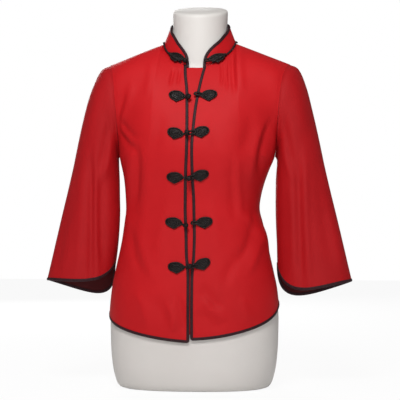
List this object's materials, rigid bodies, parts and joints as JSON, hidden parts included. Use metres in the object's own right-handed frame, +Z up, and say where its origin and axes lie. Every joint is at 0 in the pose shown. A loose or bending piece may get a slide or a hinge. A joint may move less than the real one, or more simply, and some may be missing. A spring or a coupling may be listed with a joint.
{
  "type": "short cheongsam-style jacket on a limbless dress form",
  "caption": "Short fitted jacket with a stand collar, wide three-quarter sleeves, bound edges and corded frog closures, resting on a limbless dress form.",
  "frame": {"origin": "middle of the dress form's flat underside", "axes": "+Z up through the neck, +X to the wearer's left, the front faces -Y"},
  "size_m": [0.6338, 0.2452, 0.7865],
  "materials": {
    "red_cloth": "matt crepe weave",
    "black_satin": "satin binding",
    "black_cord": "corded braid",
    "form_white": "smooth off-white shell"
  },
  "bodies": {
    "root": {"back": "red_cloth", "back_hem_binding": "black_satin", "collar": "red_cloth", "collar_binding": "black_satin", "dress_form": "form_white", "frog_1_knot": "black_cord", "frog_1_loop": "black_cord", "frog_2_knot": "black_cord", "frog_2_loop": "black_cord", "frog_3_knot": "black_cord", "frog_3_loop": "black_cord", "frog_4_knot": "black_cord", "frog_4_loop": "black_cord", "frog_5_knot": "black_cord", "frog_5_loop": "black_cord", "frog_6_knot": "black_cord", "frog_6_loop": "black_cord", "left_cuff_binding": "black_satin", "left_front": "red_cloth", "left_front_binding": "black_satin", "left_sleeve": "red_cloth", "neck_piping": "black_satin", "right_cuff_binding": "black_satin", "right_front": "red_cloth", "right_front_binding": "black_satin", "right_sleeve": "red_cloth", "underlap": "red_cloth"}
  },
  "joints": []
}
